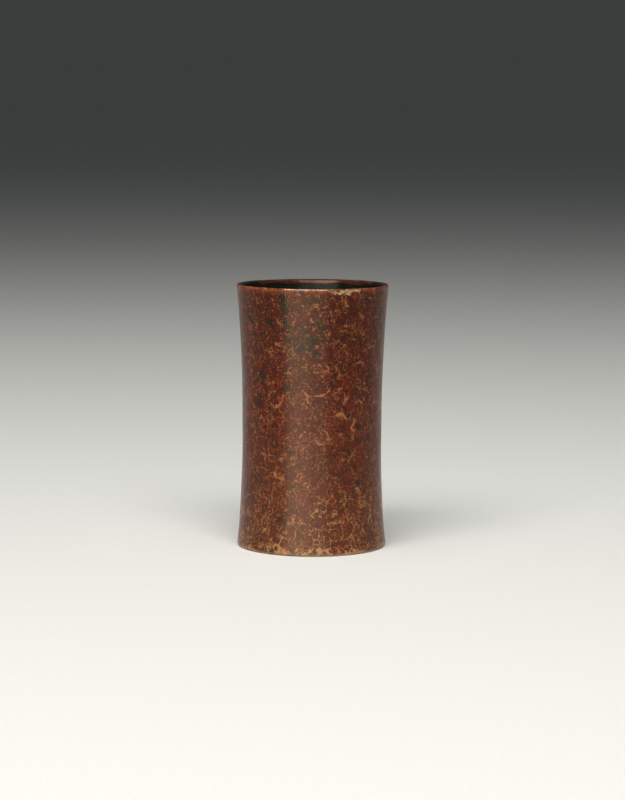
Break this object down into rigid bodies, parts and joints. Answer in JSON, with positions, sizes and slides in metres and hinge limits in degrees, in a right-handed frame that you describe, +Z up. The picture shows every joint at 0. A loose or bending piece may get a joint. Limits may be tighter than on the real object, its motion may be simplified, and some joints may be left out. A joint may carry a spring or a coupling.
{
  "type": "spill holder",
  "caption": "Waisted, open-topped cylinder of marbled lacquer on a turned wood core, black inside, on a flat foot ring; stands on a desk or mantel to hold spills, tapers, pens or brushes.",
  "frame": {"origin": "centre of the plane that the foot ring stands on", "axes": "+Z up along the pot's axis, towards the mouth; the pot is round, and -Y faces the viewer of the picture"},
  "size_m": [0.0694, 0.0694, 0.12],
  "materials": {
    "marbled_lacquer": "red-brown lacquer with ochre veins and black clouds, polished flat to a soft gloss",
    "lip_lacquer": "plain red-brown lacquer, rubbed at the edge",
    "black_lacquer": "brushed black lacquer, glossy",
    "lacquer_ground": "matt ground of raw lacquer and ash",
    "ramie_cloth": "plain-woven ramie soaked in raw lacquer",
    "core_wood": "turned softwood, unfinished"
  },
  "bodies": {
    "root": {"marbled_coat": "marbled_lacquer", "lip_coat": "lip_lacquer", "black_lining": "black_lacquer", "base_coat": "black_lacquer", "wall_ground": "lacquer_ground", "base_ground": "lacquer_ground", "wall_cloth": "ramie_cloth", "base_cloth": "ramie_cloth", "wood_wall": "core_wood", "base_board": "core_wood"}
  },
  "joints": []
}
